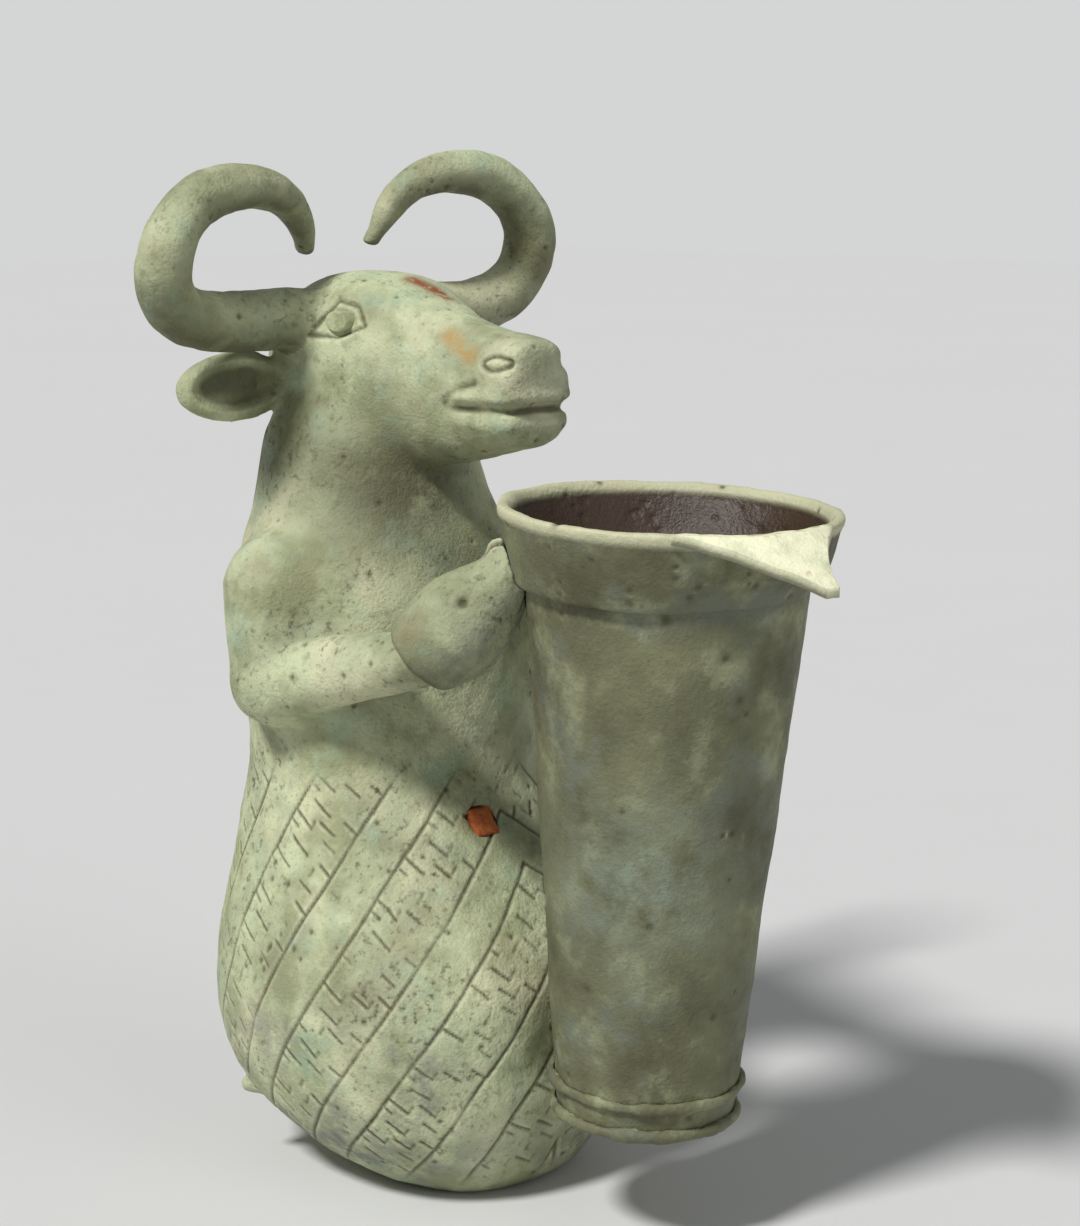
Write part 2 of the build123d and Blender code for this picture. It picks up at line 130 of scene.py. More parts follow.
# Lines round the eye, forward and up from its middle
eye_outline = ((-6.2, -2.9), (-2.0, 4.0), (3.2, 2.9), (6.4, -0.6), (0.2, -2.9), (-6.2, -2.9))
brow_line = ((-6.0, 5.8), (2.0, 6.2), (14.0, 0.5))

# Free end of a horn: how near it lies to the middle plane and how far below the top of the curl
horn_tip_side = 12.0
horn_tip_fall = 21.0
horn_tip_radius = 4.0

# Left ear: direction of its length and of its dished side, half length and half width of the dish
ear_along = (0.93, 0.34, -0.10)
ear_facing = (0.30, -0.94, 0.15)
ear_dish_length = 9.0
ear_dish_width = 4.6
ear_dish_shift = 2.0
ear_dish_depth = 0.9

# Hoof caps: places as shares of the length from the wrist, and the hole from the middle of the left cap
cuff_share = 0.1
cleft_share = 0.74
spur_share = 0.93
spur_reach = 2.6
hoof_hole = (5.1, -5.6, 3.9)
hoof_hole_radius = 1.1

# Cup: rolled lip, and the side where the lower edge of the collar is worn flush with the wall
cup_seed = 61
lip_height = 2.6
collar_seam_height = 6.0
collar_flush = 2.3
flush_side = (0.71, -0.71, 0.0)

# Pouring tongue: half angle and turn of its root, which laps over the rim, and its tip
spout_half_angle = 31.0
spout_root_turn = -8.0
spout_root_share = 0.14
spout_lap = 1.8
spout_tip_half_width = 1.5
spout_fall = math.tan(math.radians(31))
spout_lift = 0.25
spout_length = 9.0
spout_thickness = 1.7
spout_columns = 121
spout_rows = 81

# Stains: middle, radius and strength of spots on the robe; height, reach and strength of a band at the hem
robe_stains = (((-32.0, -15.5, 26.0), 8.0, 1.0), ((-38.0, 10.0, 26.0), 20.0, 0.8))
hem_stain_height = 4.0
hem_stain_reach = 9.0
hem_stain = 0.7

# Streaks on the head, sideways, back from the tip of the muzzle and up: rust from the top, ochre from below
rust_streak = ((0.3, 36.0, -2.0), (2.5, 28.5, -3.5))
ochre_streak = ((-7.0, 18.0, 26.0), (-8.0, 11.0, 22.8))

# Shaded throat, back from the tip of the muzzle and below the head
throat_back = 36.0
throat_fall = 6.0
throat_radius = 18.0

# Blue-grey bloom on the cup wall
bloom_place = (-16.0, -62.0, 72.0)
bloom_radius = 15.0

# Camera at the photograph's angle: places in metres, lens and sensor in millimetres
camera_place = (-0.34486, -0.36346, 0.1995)
camera_pitch = math.radians(9.9)
camera_lens = 76.35
camera_sensor = 36.0
camera_nearest = 0.02

# Half side of the floor in metres
floor_reach = 4.0


def linear(red, green, blue):
    """A colour as seen, 0 to 255, in the linear values that shaders take."""
    values = []
    for part in (red, green, blue):
        share = part / 255
        values.append(share / 12.92 if share <= 0.04045 else ((share + 0.055) / 1.055) ** 2.4)
    return (*values, 1.0)


pale_green = linear(192, 199, 160)
mid_green = linear(146, 150, 112)
dark_olive = linear(76, 74, 46)
verdigris = linear(154, 180, 154)
cream = linear(212, 210, 174)
stain_grey = linear(104, 103, 108)
earth = linear(142, 128, 94)
rust = linear(140, 80, 50)
ochre = linear(172, 142, 86)
cup_olive = linear(118, 119, 87)
cup_shade = linear(80, 79, 54)
cup_blue = linear(108, 116, 104)
cup_bloom = linear(136, 146, 128)
inside_brown = linear(58, 40, 24)
# Painted highlight colour of the pouring lip
lip_highlight = linear(238, 236, 202)
iron_dull = linear(178, 88, 42)
iron_bright = linear(214, 122, 62)
iron_dark = linear(96, 44, 26)
floor_grey = linear(203, 203, 201)
floor_pale = linear(204, 204, 202)
backdrop_grey = linear(212, 213, 213)
sky_grey = (0.22, 0.23, 0.24, 1)


def mm_box(node):
    """Low and high corner of a CAD node in millimetres."""
    low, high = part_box(node)
    return np.array(low) / MM, np.array(high) / MM


def side_of(node):
    """The sign of x on the side that a node belongs to."""
    return -1.0 if node.startswith("right") else 1.0


def numbers_of(nodes):
    """Places of nodes in the list of body nodes."""
    return [body_nodes.index(node) for node in nodes]


def cad_triangles(nodes, swell=0.0):
    """Points and triangles of CAD nodes in millimetres, and the number of the node of each triangle.

    A swell moves the points out, so that soldered nodes meet."""
    points = []
    triangles = []
    owners = []
    count = 0
    for number, node in enumerate(nodes):
        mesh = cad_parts[node].data
        mesh.calc_loop_triangles()
        spots = np.empty(len(mesh.vertices) * 3, np.float32)
        mesh.vertices.foreach_get("co", spots)
        corners = np.empty(len(mesh.loop_triangles) * 3, np.int32)
        mesh.loop_triangles.foreach_get("vertices", corners)
        outward = np.empty(len(mesh.vertices) * 3, np.float32)
        mesh.vertices.foreach_get("normal", outward)
        points.append(spots.reshape(-1, 3) / MM + outward.reshape(-1, 3) * swell)
        triangles.append(corners.reshape(-1, 3) + count)
        owners.append(np.full(len(mesh.loop_triangles), number))
        count += len(mesh.vertices)
    return np.vstack(points), np.vstack(triangles), np.concatenate(owners)


def voxel_skin(points, triangles, grain):
    """Even quads over closed shapes, as points and corner numbers."""
    mesh = bpy.data.meshes.new("soup")
    mesh.from_pydata(points.tolist(), [], triangles.tolist())
    soup = bpy.data.objects.new("soup", mesh)
    bpy.context.scene.collection.objects.link(soup)
    remesh = soup.modifiers.new("skin", "REMESH")
    remesh.mode = "VOXEL"
    remesh.voxel_size = grain
    graph = bpy.context.evaluated_depsgraph_get()
    skin = soup.evaluated_get(graph).to_mesh()
    spots = np.empty(len(skin.vertices) * 3, np.float32)
    skin.vertices.foreach_get("co", spots)
    corners = np.empty(len(skin.loops), np.int32)
    skin.loops.foreach_get("vertex_index", corners)
    bpy.data.objects.remove(soup)
    bpy.data.meshes.remove(mesh)
    return spots.reshape(-1, 3).astype(float), corners.reshape(-1, 4)


def edges_of(quads, count):
    """Each edge once, as pairs of point numbers."""
    pairs = np.vstack([quads[:, [corner, (corner + 1) % 4]] for corner in range(4)]).astype(np.int64)
    pairs.sort(axis=1)
    keys = np.unique(pairs[:, 0] * count + pairs[:, 1])
    return np.stack([keys // count, keys % count], 1)


def part_of(points, quads, chosen):
    """The chosen quads with only their own points."""
    used, numbers = np.unique(quads[chosen], return_inverse=True)
    return points[used], numbers.reshape(-1, 4)


def outer_island(points, quads):
    """The skin that the outermost point belongs to, without the walls of hollows inside it."""
    edges = edges_of(quads, len(points))
    ways = np.vstack([edges, edges[:, ::-1]])
    ways = ways[np.argsort(ways[:, 0], kind="stable")]
    starts = np.searchsorted(ways[:, 0], np.arange(len(points) + 1))
    seen = np.zeros(len(points), bool)
    front = np.array([np.argmin(points[:, 0])])
    seen[front] = True
    while len(front):
        reach = [ways[starts[spot]:starts[spot + 1], 1] for spot in front]
        front = np.unique(np.concatenate(reach))
        front = front[~seen[front]]
        seen[front] = True
    return part_of(points, quads, seen[quads[:, 0]])


def smoothed(points, edges, amount, rounds):
    """Points drawn towards the mean of their neighbours, each by its own amount."""
    count = np.bincount(edges.ravel(), minlength=len(points))
    for _ in range(rounds):
        mean = np.empty_like(points)
        for axis in range(3):
            mean[:, axis] = np.bincount(edges[:, 0], points[edges[:, 1], axis], len(points))
            mean[:, axis] += np.bincount(edges[:, 1], points[edges[:, 0], axis], len(points))
        points = points + (mean / count[:, None] - points) * amount[:, None]
    return points


def spread(values, edges, rounds):
    """Values per point, averaged with their neighbours."""
    count = np.bincount(edges.ravel(), minlength=len(values)) + 1
    for _ in range(rounds):
        total = values + np.bincount(edges[:, 0], values[edges[:, 1]], len(values))
        total += np.bincount(edges[:, 1], values[edges[:, 0]], len(values))
        values = total / count
    return values


def normals_of(points, quads):
    """Outward direction at each point."""
    across = np.cross(points[quads[:, 2]] - points[quads[:, 0]], points[quads[:, 3]] - points[quads[:, 1]])
    total = np.zeros_like(points)
    for corner in range(4):
        for axis in range(3):
            total[:, axis] += np.bincount(quads[:, corner], across[:, axis], len(points))
    return total / (np.linalg.norm(total, axis=1)[:, None] + 1e-9)


def curvature(points, quads):
    """How far each point stands out from its neighbours, outwards above 0."""
    edges = edges_of(quads, len(points))
    even = smoothed(points, edges, np.ones(len(points)), 3)
    out = np.einsum("ij,ij->i", points - even, normals_of(points, quads))
    return out - spread(out, edges, 14)


def edge_wear_and_highlight(points, quads):
    """Worn edges, which also carry painted edge highlights, and darker grooves of a skin, as shares."""
    out = curvature(points, quads)
    return np.clip(out * 9 - 0.25, 0, 1), np.clip(-out * 7 - 0.2, 0, 0.6)


def crevice_shade(points, quads, normals):
    """Share of painted shade in the wide hollows where limbs, neck and horns meet the body."""
    edges = edges_of(quads, len(points))
    even = smoothed(points, edges, np.ones(len(points)), reach_rounds)
    sunk = np.einsum("ij,ij->i", even - points, normals)
    return np.clip(spread(sunk, edges, 4) * 2.2 - 0.12, 0, 1)


def hashed(cells, seed):
    """Even random values from 0 to 1 for whole-number cells."""
    mixed = cells[..., 0] * 374761393 + cells[..., 1] * 668265263
    mixed = mixed + cells[..., 2] * 1440662683 + seed * 974711
    mixed = (mixed ^ (mixed >> 13)) * 1274126177
    mixed = mixed & 0x7FFFFFFF
    return ((mixed ^ (mixed >> 15)) & 0xFFFF) / 65535.0


def noise(points, size, seed):
    """Smooth random values from -1 to 1 with lumps of a size."""
    place = points / size
    cell = np.floor(place).astype(np.int64)
    part = place - cell
    part = part * part * (3 - 2 * part)
    total = np.zeros(len(points))
    for step in np.ndindex(2, 2, 2):
        step = np.array(step)
        weight = np.prod(np.where(step, part, 1 - part), axis=1)
        total += weight * hashed(cell + step, seed)
    return total * 2 - 1


def lumps(points, size, seed, layers=3):
    """Noise at a size and at finer ones."""
    total = np.zeros(len(points))
    for layer in range(layers):
        total += noise(points, size / 2.1 ** layer, seed + layer) / 2 ** layer
    return total


def pits(points, seed, count, low_radius, high_radius):
    """Depth share of corrosion pits scattered over the points."""
    chance = np.random.default_rng(seed)
    depth = np.zeros(len(points))
    for centre in chance.choice(len(points), count, replace=False):
        radius = chance.uniform(low_radius, high_radius)
        near = np.flatnonzero(np.abs(points[:, 0] - points[centre, 0]) < 2 * radius)
        apart = np.linalg.norm(points[near] - points[centre], axis=1)
        depth[near] = np.maximum(depth[near], np.exp(-(apart / radius) ** 2))
    return depth


def bell(distance, half_width):
    """Share that falls off on both sides of a line."""
    return np.exp(-(distance / half_width) ** 2)


def ball(points, centre, radius):
    """Soft round spot in space."""
    return bell(np.linalg.norm(points - np.array(centre), axis=1), radius)


def ridge(distance, height, half_width):
    """Raised line, or a groove where its height is below 0."""
    return height * bell(distance, half_width)


def segment_distance(places, start, end):
    """Distance of places from a straight stroke, in as many axes as they have."""
    start = np.array(start)
    along = np.array(end) - start
    share = np.clip((places - start) @ along / (along @ along), 0, 1)
    return np.linalg.norm(places - start - share[:, None] * along, axis=1)


def path_distance(places, path):
    """Distance of places from a line through points."""
    return np.minimum.reduce([segment_distance(places, start, end) for start, end in zip(path, path[1:])])


def robe_places(points):
    """Places along and across the bands, the same on both sides of the figure."""
    ahead = np.interp(points[:, 2], robe_axis_heights, robe_axis_back) - points[:, 1]
    girth = (viewed_turn - np.arctan2(np.abs(points[:, 0]), ahead)) * np.hypot(points[:, 0], ahead)
    slant = math.hypot(1, band_rise)
    along = (girth + band_rise * points[:, 2]) / slant
    across = (points[:, 2] - band_rise * girth) / slant - band_start
    return along + 0.5 * noise(points, 6.0, 7), across + 0.35 * noise(points, 9.0, 6)


def robe_pattern(points):
    """Depth of the incised band lines and stepped motifs."""
    along, across = robe_places(points)
    band = np.floor(across / band_period)
    across = across - band * band_period
    fade = 0.55 + 0.45 * noise(points, 7.0, 3) + 0.35 * noise(points, 26.0, 4)
    edge = np.minimum.reduce([across, np.abs(across - band_width), band_period - across])
    depth = ridge(edge, line_depth, line_half_width) * np.clip(fade + 0.25, 0.25, 1)
    unit = np.floor(along / motif_pitch)
    place = np.stack([along - unit * motif_pitch, across], 1)
    for number, (start, end, share) in enumerate(motif_strokes):
        cells = np.stack([unit, band, np.full(len(unit), number)], 1).astype(np.int64)
        kept = hashed(cells, 5) > lost_strokes
        stroke = ridge(segment_distance(place, start, end), share * motif_depth, motif_half_width)
        depth = np.maximum(depth, stroke * kept * np.clip(fade + 0.2, 0, 1))
    from_bottom = np.clip((points[:, 2] - pattern_bottom) / 4.0, 0, 1)
    from_top = np.clip((pattern_top - points[:, 2]) / 8.0, 0, 1)
    return depth * from_bottom * from_top


def eye_relief(points):
    """Incised eyelids and a raised brow."""
    eye = np.mean(mm_box("right_eye_inlay"), axis=0)
    face = np.stack([eye[1] - points[:, 1], points[:, 2] - eye[2]], 1)
    lid = path_distance(face, eye_outline)
    brow = path_distance(face, brow_line)
    return ridge(lid, -0.55, 0.42) + ridge(lid - 1.3, 0.1, 0.8) + ridge(brow, 0.25, 2.2)


def nostril_relief(back, rise):
    """Almond groove with a raised middle."""
    back = back - nostril_back
    rise = rise - nostril_rise
    groove = np.abs(rise) - nostril_half_height * (1 - (back / nostril_half_length) ** 2)
    within = np.clip(1 - (np.abs(back) - 2.9) / 0.8, 0, 1)
    return within * (ridge(groove, -0.7, 0.45) + ridge(np.hypot(back, rise), 0.25, 1.2))


def lip_relief(points, back, rise):
    """Two uneven lips with the slit of the mouth between them."""
    rise = rise - mouth_rise
    lips = ridge(rise - 2.4, 0.7, 1.2) + ridge(rise, -0.6, 0.6) + ridge(rise + 2.7, 0.35, 1.3)
    lips = lips * (1 + 0.5 * noise(points, 4.0, 8))
    return lips * np.clip((mouth_length - back) / 4.0, 0, 1)


def cheek_relief(back, rise):
    """Fold at the corner of the mouth and the swelling above it."""
    profile = np.stack([back, rise - mouth_rise], 1)
    fold = path_distance(profile, mouth_fold)
    cheek = path_distance(profile, cheek_line)
    return ridge(fold, -0.45, 0.8) + ridge(cheek, 0.3, 1.4)


def head_features(points, normals):
    """Height of eyelids, brows, nostrils, lips, cheeks and forehead on the head."""
    low, high = mm_box("head_shell")
    back = points[:, 1] - low[1]
    rise = points[:, 2] - low[2]
    side = np.clip(np.abs(normals[:, 0]) * 2 - 0.4, 0, 1)
    height = side * (eye_relief(points) + nostril_relief(back, rise) + cheek_relief(back, rise))
    forehead = (forehead_side, low[1] + forehead_back, high[2] - forehead_fall)
    return height + lip_relief(points, back, rise) + forehead_lift * ball(points, forehead, forehead_radius)


def seam_zone(owner, edges):
    """How much of a blend each point gets: most where two cast forms meet."""
    crisp = np.isin(owner, numbers_of(crisp_nodes))
    border = owner[edges[:, 0]] != owner[edges[:, 1]]
    border &= ~(crisp[edges[:, 0]] | crisp[edges[:, 1]])
    zone = np.zeros(len(owner))
    zone[edges[border].ravel()] = 1
    return 0.5 * np.clip(spread(zone, edges, reach_rounds) * 10, 0, 1)


def horn_tips(points):
    """Round spots at the free ends of the horns."""
    spots = np.zeros(len(points))
    for node in ("right_horn", "left_horn"):
        horn = cad_triangles([node])[0]
        inner = np.abs(horn[:, 0]) < horn_tip_side
        curl = horn[inner & (horn[:, 2] > horn[:, 2].max() - horn_tip_fall)]
        spots += ball(points, curl[np.argmin(curl[:, 2])], horn_tip_radius)
    return np.clip(spots, 0, 1)


def ear_dish(points, node):
    """Share of the hollow of an ear, over its dished side."""
    mirror = np.array([side_of(node), 1.0, 1.0])
    along = np.array(ear_along) * mirror
    facing = np.array(ear_facing) * mirror
    across = np.cross(facing, along)
    place = points - np.mean(mm_box(node), axis=0) - along * ear_dish_shift
    from_middle = ((place @ along) / ear_dish_length) ** 2 + ((place @ across) / ear_dish_width) ** 2
    return np.clip(1.15 - from_middle, 0, 1) * np.clip(place @ facing + 1.2, 0, 1)


def cast_body():
    """One smooth skin over the body, its edges, and the number of the CAD node under each point."""
    soup, triangles, owners = cad_triangles(body_nodes, solder_swell)
    points, quads = outer_island(*voxel_skin(soup, triangles, skin_grain))
    edges = edges_of(quads, len(points))
    tree = BVHTree.FromPolygons(soup.tolist(), triangles.tolist())
    owner = np.array([owners[tree.find_nearest(spot)[2]] for spot in points.tolist()])
    soft = np.isin(owner, numbers_of(soft_nodes)).astype(float)
    amount = spread(0.08 + 0.47 * soft + 0.4 * horn_tips(points), edges, 6)
    points = smoothed(points, edges, amount, soften_rounds)
    points = smoothed(points, edges, seam_zone(owner, edges), seam_rounds)
    return points, quads, edges, owner


def body_relief(points, normals, edges, owner):
    """Height of carving, face, ears, lumps and pits over the body, and how dark its hollows are painted:
    patina in the carved lines and pits, painted shade in the sunk grooves of the face and the dishes of the
    ears.
    """
    carved = np.zeros(len(points))
    on_robe = owner == body_nodes.index("robe_shell")
    carved[on_robe] = robe_pattern(points[on_robe])
    features = np.zeros(len(points))
    on_head = owner == body_nodes.index("head_shell")
    features[on_head] = head_features(points[on_head], normals[on_head])
    features = spread(features, edges, 1)
    for node in ("right_ear", "left_ear"):
        on_ear = owner == body_nodes.index(node)
        features[on_ear] -= ear_dish_depth * ear_dish(points[on_ear], node)
    rough = pits(points, 11, 420, 0.25, 0.75)
    surface = 0.28 * lumps(points, 14.0, 21) + 0.09 * lumps(points, 2.6, 31, 2) - 0.35 * rough
    hollow = np.clip(carved * 1.7 + np.clip(-features, 0, 1) + 0.5 * rough, 0, 1)
    return features - carved + surface, hollow


def capped(points, quads):
    """Middle points and triangles that close every open edge loop of a patch."""
    pairs = np.vstack([quads[:, [corner, (corner + 1) % 4]] for corner in range(4)])
    keys = np.sort(pairs, axis=1)
    keys = keys[:, 0].astype(np.int64) * len(points) + keys[:, 1]
    _, first, counts = np.unique(keys, return_index=True, return_counts=True)
    follow = {int(b): int(a) for a, b in pairs[first[counts == 1]]}
    caps = []
    middles = []
    while follow:
        start, spot = next(iter(follow.items()))
        loop = [start]
        del follow[start]
        while spot in follow:
            loop.append(spot)
            spot = follow.pop(spot)
        middle = len(points) + len(middles)
        middles.append(points[loop].mean(axis=0))
        caps.extend((a, b, middle) for a, b in zip(loop, loop[1:] + loop[:1]))
    return middles, caps


def add_piece(name, node, points, quads, values, material, normals=None):
    """A visual piece that stands for a CAD node, with named values per point for its material."""
    middles, caps = capped(points, quads)
    every = np.vstack([points, middles]) if middles else points
    every = np.clip(every, np.array(cad_low) / MM, np.array(cad_high) / MM)
    mesh = bpy.data.meshes.new(name)
    mesh.from_pydata((every * MM).tolist(), [], quads.tolist() + caps)
    for label, value in values.items():
        padded = np.concatenate([value, np.zeros(len(middles))]).astype(np.float32)
        mesh.attributes.new(label, "FLOAT", "POINT").data.foreach_set("value", padded)
    mesh.polygons.foreach_set("use_smooth", np.ones(len(mesh.polygons), bool))
    if normals is not None:
        mesh.normals_split_custom_set_from_vertices(normals.tolist() + [(0, 0, 1)] * len(middles))
    mesh.materials.append(material)
    piece = bpy.data.objects.new(name, mesh)
    bpy.context.scene.collection.objects.link(piece)
    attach(piece, "root")
    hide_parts(node)


class Shader:
    """Small helper that chains the nodes of one material."""

    def __init__(self, name):
        self.material = bpy.data.materials.new(name)
        self.material.use_nodes = True
        self.nodes = self.material.node_tree.nodes
        self.links = self.material.node_tree.links
        self.surface = self.nodes["Principled BSDF"]
        self.place = self.nodes.new("ShaderNodeTexCoord").outputs["Object"]

    def span(self, value, low, high, to_low, to_high):
        """A value stretched from one range to another and held inside it."""
        reach = self.nodes.new("ShaderNodeMapRange")
        reach.inputs["From Min"].default_value = low
        reach.inputs["From Max"].default_value = high
        reach.inputs["To Min"].default_value = to_low
        reach.inputs["To Max"].default_value = to_high
        self.links.new(value, reach.inputs["Value"])
        return reach.outputs["Result"]

    def noise(self, size, detail, low, high, to_low=0.0, to_high=1.0):
        """Patchy mask with lumps of a size in millimetres."""
        texture = self.nodes.new("ShaderNodeTexNoise")
        texture.inputs["Scale"].default_value = 1 / (size * MM)
        texture.inputs["Detail"].default_value = detail
        texture.inputs["Roughness"].default_value = 0.6
        self.links.new(self.place, texture.inputs["Vector"])
        return self.span(texture.outputs["Fac"], low, high, to_low, to_high)

    def stored(self, label):
        """A value that the mesh carries for each point, 0 where it carries none."""
        attribute = self.nodes.new("ShaderNodeAttribute")
        attribute.attribute_name = label
        return attribute.outputs["Fac"]

    def times(self, value, other):
        """A value times a number or another value."""
        product = self.nodes.new("ShaderNodeMath")
        product.operation = "MULTIPLY"
        self.links.new(value, product.inputs[0])
        if isinstance(other, float):
            product.inputs[1].default_value = other
        else:
            self.links.new(other, product.inputs[1])
        return product.outputs["Value"]

    def mix(self, mask, under, over):
        """One colour over another by a mask; colours are written or come from a socket."""
        mixer = self.nodes.new("ShaderNodeMix")
        mixer.data_type = "RGBA"
        self.links.new(mask, mixer.inputs["Factor"])
        for socket, colour in ((mixer.inputs[6], under), (mixer.inputs[7], over)):
            if isinstance(colour, tuple):
                socket.default_value = colour
            else:
                self.links.new(colour, socket)
        return mixer.outputs[2]

    def patches(self, under, over, size, detail, low, high, share):
        """Patches of a colour, weakened by a number or by a value."""
        return self.mix(self.times(self.noise(size, detail, low, high), share), under, over)

    def tint(self, under, over, label, share):
        """A colour where the mesh carries a value."""
        return self.mix(self.times(self.stored(label), share), under, over)

    def finish(self, colour, roughness, bump_size, bump_height):
        """Joins colour, roughness and a fine grain to the surface."""
        self.links.new(colour, self.surface.inputs["Base Color"])
        self.links.new(roughness, self.surface.inputs["Roughness"])
        grain = self.noise(bump_size, 4, 0.2, 0.8)
        bump = self.nodes.new("ShaderNodeBump")
        bump.inputs["Strength"].default_value = 0.7
        bump.inputs["Distance"].default_value = bump_height * MM
        self.links.new(grain, bump.inputs["Height"])
        self.links.new(bump.outputs["Normal"], self.surface.inputs["Normal"])
        return self.material


def patina_material():
    """Chalky green body bronze with verdigris, cream, grey stains, painted highlights on worn edges, dark
    patina and painted shade in its hollows, and painted shade under the horns and on the throat.
    """
    shader = Shader("patina_bronze")
    colour = shader.mix(shader.noise(16, 6, 0.38, 0.56), mid_green, pale_green)
    colour = shader.patches(colour, dark_olive, 34, 5, 0.48, 0.66, 0.55)
    colour = shader.patches(colour, verdigris, 11, 5, 0.52, 0.68, 0.5)
    colour = shader.patches(colour, cream, 24, 6, 0.50, 0.66, 0.75)
    colour = shader.patches(colour, earth, 21, 6, 0.54, 0.70, 0.5)
    colour = shader.patches(colour, stain_grey, 5, 5, 0.35, 0.6, shader.stored("stain"))
    colour = shader.patches(colour, mid_green, 3.2, 4, 0.56, 0.72, 0.6)
    colour = shader.patches(colour, dark_olive, 1.5, 4, 0.54, 0.72, shader.noise(17, 4, 0.42, 0.62))
    colour = shader.patches(colour, dark_olive, 0.8, 3, 0.60, 0.74, 0.4)
    # Darker horns and hoof caps, painted shade under the horns and a painted shadow on the throat
    colour = shader.patches(colour, dark_olive, 8, 5, 0.15, 0.5, shader.stored("shade"))
    colour = shader.patches(colour, ochre, 2.5, 4, 0.3, 0.55, shader.stored("ochre"))
    colour = shader.patches(colour, rust, 1.6, 4, 0.25, 0.5, shader.stored("rust"))
    # Cream on worn edges, partly painted edge highlights
    colour = shader.tint(colour, cream, "wear_and_highlight", 0.75)
    # Dark patina and painted shade in the hollows
    colour = shader.tint(colour, dark_olive, "hollow", 0.85)
    return shader.finish(colour, shader.noise(6, 4, 0.2, 0.8, 0.55, 0.85), 0.7, 0.25)


def cup_material():
    """Darker olive cup with blue-grey patches and a glossier brown inside."""
    shader = Shader("cup_bronze")
    colour = shader.mix(shader.noise(18, 7, 0.36, 0.64), cup_shade, cup_olive)
    colour = shader.patches(colour, cup_blue, 13, 6, 0.52, 0.66, 0.6)
    colour = shader.patches(colour, pale_green, 9, 6, 0.54, 0.74, 0.28)
    colour = shader.patches(colour, cup_bloom, 7, 6, 0.32, 0.6, shader.stored("bloom"))
    colour = shader.patches(colour, dark_olive, 1.4, 3, 0.60, 0.75, 0.4)
    # Cream on worn edges, and a painted highlight on the top of the rim
    colour = shader.tint(colour, cream, "wear_and_highlight", 0.85)
    colour = shader.tint(colour, dark_olive, "hollow", 0.85)
    colour = shader.mix(shader.stored("inside"), colour, inside_brown)
    gloss = shader.span(shader.stored("inside"), 0.0, 1.0, 1.0, 0.7)
    roughness = shader.times(shader.noise(6, 4, 0.2, 0.8, 0.5, 0.8), gloss)
    return shader.finish(colour, roughness, 0.8, 0.25)


def worn_and_lit_lip_material():
    """Pouring lip: pale worn metal painted bright as a highlight, with ochre spots and painted shade on its
    edges and underside.
    """
    shader = Shader("rubbed_bronze")
    colour = shader.mix(shader.noise(6, 5, 0.25, 0.55), pale_green, lip_highlight)
    colour = shader.patches(colour, ochre, 3, 4, 0.60, 0.72, 0.7)
    colour = shader.tint(colour, dark_olive, "hollow", 0.8)
    return shader.finish(colour, shader.noise(4, 4, 0.2, 0.8, 0.4, 0.7), 0.7, 0.2)


def iron_material():
    """Rust-coloured core plug."""
    shader = Shader("iron_core")
    colour = shader.mix(shader.noise(1.6, 5, 0.35, 0.65), iron_dull, iron_bright)
    colour = shader.patches(colour, iron_dark, 0.9, 4, 0.58, 0.7, 0.6)
    return shader.finish(colour, shader.noise(2, 4, 0.2, 0.8, 0.7, 0.95), 0.4, 0.3)


patina = patina_material()
cup_bronze = cup_material()
worn_and_lit_lip = worn_and_lit_lip_material()
iron = iron_material()


def stain_marks(points):
    """Patchy grey stains on the robe and along its hem."""
    patch = hem_stain * bell(points[:, 2] - hem_stain_height, hem_stain_reach)
    for place, radius, strength in robe_stains:
        patch = patch + strength * ball(points, place, radius)
    return np.clip(patch, 0, 1) * np.clip(0.5 + lumps(points, 14.0, 41), 0, 1)


def shade_marks(points, normals, owner):
    """Darker horns with painted shade on their undersides, and the painted shadow of the head on the throat
    below the jaw.
    """
    low = mm_box("head_shell")[0]
    throat = ball(points, (low[0] / 2, low[1] + throat_back, low[2] - throat_fall), throat_radius)
    horns = np.isin(owner, numbers_of(("right_horn", "left_horn")))
    under = np.clip(0.25 - normals[:, 2], 0, 1)
    return np.clip(horns * (0.12 + 0.75 * under) + 1.1 * throat, 0, 1)


def rust_marks(points):
    """Red-brown streak on the forehead."""
    low, high = mm_box("head_shell")
    start, end = np.array(rust_streak) + (0.0, low[1], high[2])
    return np.clip(ridge(segment_distance(points, start, end), 1.3, 1.9), 0, 1)


def ochre_marks(points):
    """Ochre streak on the cheek and a smear beside the core plug."""
    low = mm_box("head_shell")[0]
    plug_low, plug_high = mm_box("chest_core_plug")
    start, end = np.array(ochre_streak) + (0.0, low[1], low[2])
    smear = ball(points, (plug_low[0] - 2.0, plug_low[1], plug_high[2]), 3.0)
    return np.clip(bell(segment_distance(points, start, end), 1.8) + smear, 0, 1)


